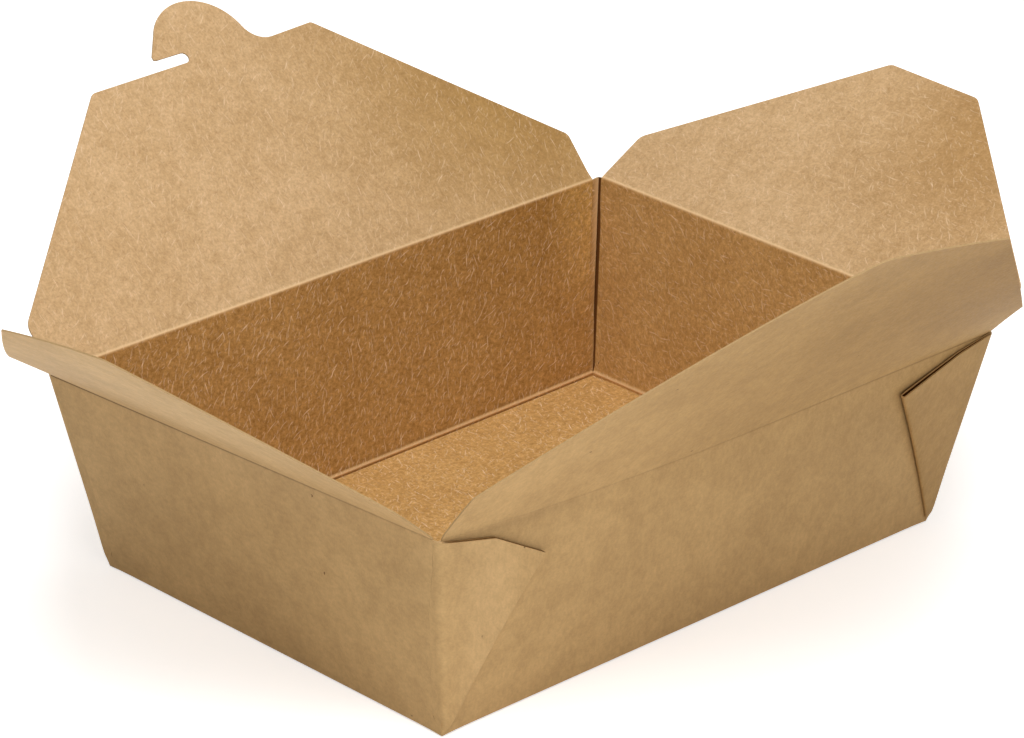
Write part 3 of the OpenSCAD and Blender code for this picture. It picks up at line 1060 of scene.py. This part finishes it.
HOOK_MIDDLE = back.length / 2
SLOT_L = 42.0
SLOT_W = 0.07
SLOT_Y = 77.6
slot_middle = np.array([front.length / 2 - HEAD_SHIFT, SLOT_Y])
slot_end = np.array([(SLOT_L - SLOT_W) / 2, 0])
slot_right = arc(slot_middle + slot_end, SLOT_W / 2, -90, 90, 5)
slot_left = arc(slot_middle - slot_end, SLOT_W / 2, 90, 270, 5)
slot_hole = np.array(slot_right + slot_left)
HOOK_DEPTH = 78.4
hook = hook_outline(HOOK_MIDDLE, HOOK_DEPTH)

# outline corners of each flap, along its crease and beyond it, with their radii, the hook and the slot
flaps = [
    (back, [(1.5, 15.8), (65.9, 78), (153.4, 79), (218.6, 16.8)], (6, 3, 2, 2.5), hook, None),
    (right, [(1.2, 18.8), (60.2, 76), (96.3, 74.9), (158.9, 17.6)], (4, 3, 4, 5), (), None),
    (front, [(3.2, 20), (77.3, 101.8), (127.5, 108), (218.3, 19.7)], (2, 2, 8, 4), (), slot_hole),
    (left, [(3, 16.5), (59, 82.5), (98, 82), (143.5, 29)], (4, 3, 1, 6), (), None),
]
BLEND = 1.5  # millimetres of sheet on each side of a flap's crease at which the loop below finds two points, which nothing then uses
for side, corners, radii, extra, hole in flaps:
    piece = flap_sheet(side, board, corners, radii, extra, hole)
    middle = np.array([0.5])
    start = side.sheet(middle, np.array([-BLEND]))[0] * MM
    end = side.sheet(middle, np.array([BLEND]))[0] * MM
    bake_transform(piece)
    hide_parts(side.name)


# Stage, light and camera

CAMERA_AZIMUTH = -44.402
CAMERA_ELEVATION = 24.362
CAMERA_ROLL = 0.872
CAMERA_DISTANCE = 1513.98
CAMERA_AIM = np.array([36.124, 42.471, 30.63])
CAMERA_LENS = 177.46
SENSOR = 36.0

# the floor and the lamps are in metres
FLOOR_SIZE = 16.0
FLOOR_DROP = 0.0002
FLOOR_ALBEDO = 0.9
FLOOR_LIFT = 0.6  # light that the floor adds where it is seen directly, so that it turns white
WORLD_LEVEL = 0.35


def look(azimuth, elevation, roll):
    """Right, up and back directions of a camera at these angles in degrees."""
    a, e, r = (math.radians(x) for x in (azimuth, elevation, roll))
    backward = np.array([math.sin(a) * math.cos(e), -math.cos(a) * math.cos(e), math.sin(e)])
    level = unit(np.cross(-backward, [0, 0, 1]))
    upright = np.cross(level, -backward)
    rightward = math.cos(r) * level + math.sin(r) * upright
    return rightward, np.cross(backward, rightward), backward


def make_camera():
    data = bpy.data.cameras.new("camera")
    data.lens = CAMERA_LENS
    data.sensor_width = SENSOR
    data.sensor_fit = "HORIZONTAL"
    data.clip_start = 0.1
    data.clip_end = 50.0
    obj = bpy.data.objects.new("camera", data)
    bpy.context.scene.collection.objects.link(obj)
    rightward, upward, backward = look(CAMERA_AZIMUTH, CAMERA_ELEVATION, CAMERA_ROLL)
    turn = Matrix((rightward, upward, backward)).transposed().to_4x4()
    place = (CAMERA_AIM + backward * CAMERA_DISTANCE) * MM
    obj.matrix_world = Matrix.Translation(Vector(place)) @ turn
    bpy.context.scene.camera = obj


def seen_directly(tree):
    """1 for rays of the camera and rays seen in mirrors or through glass, 0 for the rest."""
    path = tree.nodes.new("ShaderNodeLightPath")
    seen = path.outputs["Is Camera Ray"]
    for ray in ("Is Glossy Ray", "Is Transmission Ray"):
        either = tree.nodes.new("ShaderNodeMath")
        either.operation = "MAXIMUM"
        tree.links.new(seen, either.inputs[0])
        tree.links.new(path.outputs[ray], either.inputs[1])
        seen = either.outputs[0]
    return seen


def make_world(strength):
    world = bpy.data.worlds.new("studio")
    world.use_nodes = True
    tree = world.node_tree
    background = tree.nodes["Background"]
    background.inputs["Color"].default_value = (1, 1, 1, 1)
    seen = seen_directly(tree)
    level = tree.nodes.new("ShaderNodeMapRange")
    tree.links.new(seen, level.inputs["Value"])
    level.inputs["To Min"].default_value = strength
    level.inputs["To Max"].default_value = 1.0
    tree.links.new(level.outputs[0], background.inputs["Strength"])
    bpy.context.scene.world = world


def make_floor(albedo, lift):
    material = bpy.data.materials.new("floor")
    material.use_nodes = True
    tree = material.node_tree
    shader = tree.nodes["Principled BSDF"]
    shader.inputs["Base Color"].default_value = (albedo, albedo, albedo, 1)
    shader.inputs["Roughness"].default_value = 1.0
    shader.inputs["Specular IOR Level"].default_value = 0.0
    shader.inputs["Emission Color"].default_value = (1, 1, 1, 1)
    seen = seen_directly(tree)
    level = tree.nodes.new("ShaderNodeMath")
    level.operation = "MULTIPLY"
    level.inputs[1].default_value = lift
    tree.links.new(seen, level.inputs[0])
    tree.links.new(level.outputs[0], shader.inputs["Emission Strength"])
    half = FLOOR_SIZE / 2
    mesh = bpy.data.meshes.new("floor")
    corners = [(-half, -half, 0), (half, -half, 0), (half, half, 0), (-half, half, 0)]
    mesh.from_pydata(corners, [], [(0, 1, 2, 3)])
    mesh.materials.append(material)
    obj = bpy.data.objects.new("floor", mesh)
    obj.location = (0, 0, -FLOOR_DROP)
    bpy.context.scene.collection.objects.link(obj)


def softbox(name, azimuth, elevation, distance, size, power):
    """Square area lamp aimed at the box."""
    data = bpy.data.lights.new(name, "AREA")
    data.shape = "SQUARE"
    data.size = size
    data.energy = power
    data.specular_factor = 0.3
    obj = bpy.data.objects.new(name, data)
    _, _, backward = look(azimuth, elevation, 0)
    obj.location = Vector(backward * distance)
    obj.rotation_mode = "QUATERNION"
    obj.rotation_quaternion = Vector(-backward).to_track_quat("-Z", "Y")
    bpy.context.scene.collection.objects.link(obj)


make_camera()
make_world(WORLD_LEVEL)
make_floor(FLOOR_ALBEDO, FLOOR_LIFT)
softbox("key", azimuth=-35, elevation=76, distance=1.5, size=0.9, power=16)
softbox("card", azimuth=-22, elevation=9, distance=0.95, size=0.4, power=1.6)
bpy.context.scene.view_settings.view_transform = "Standard"
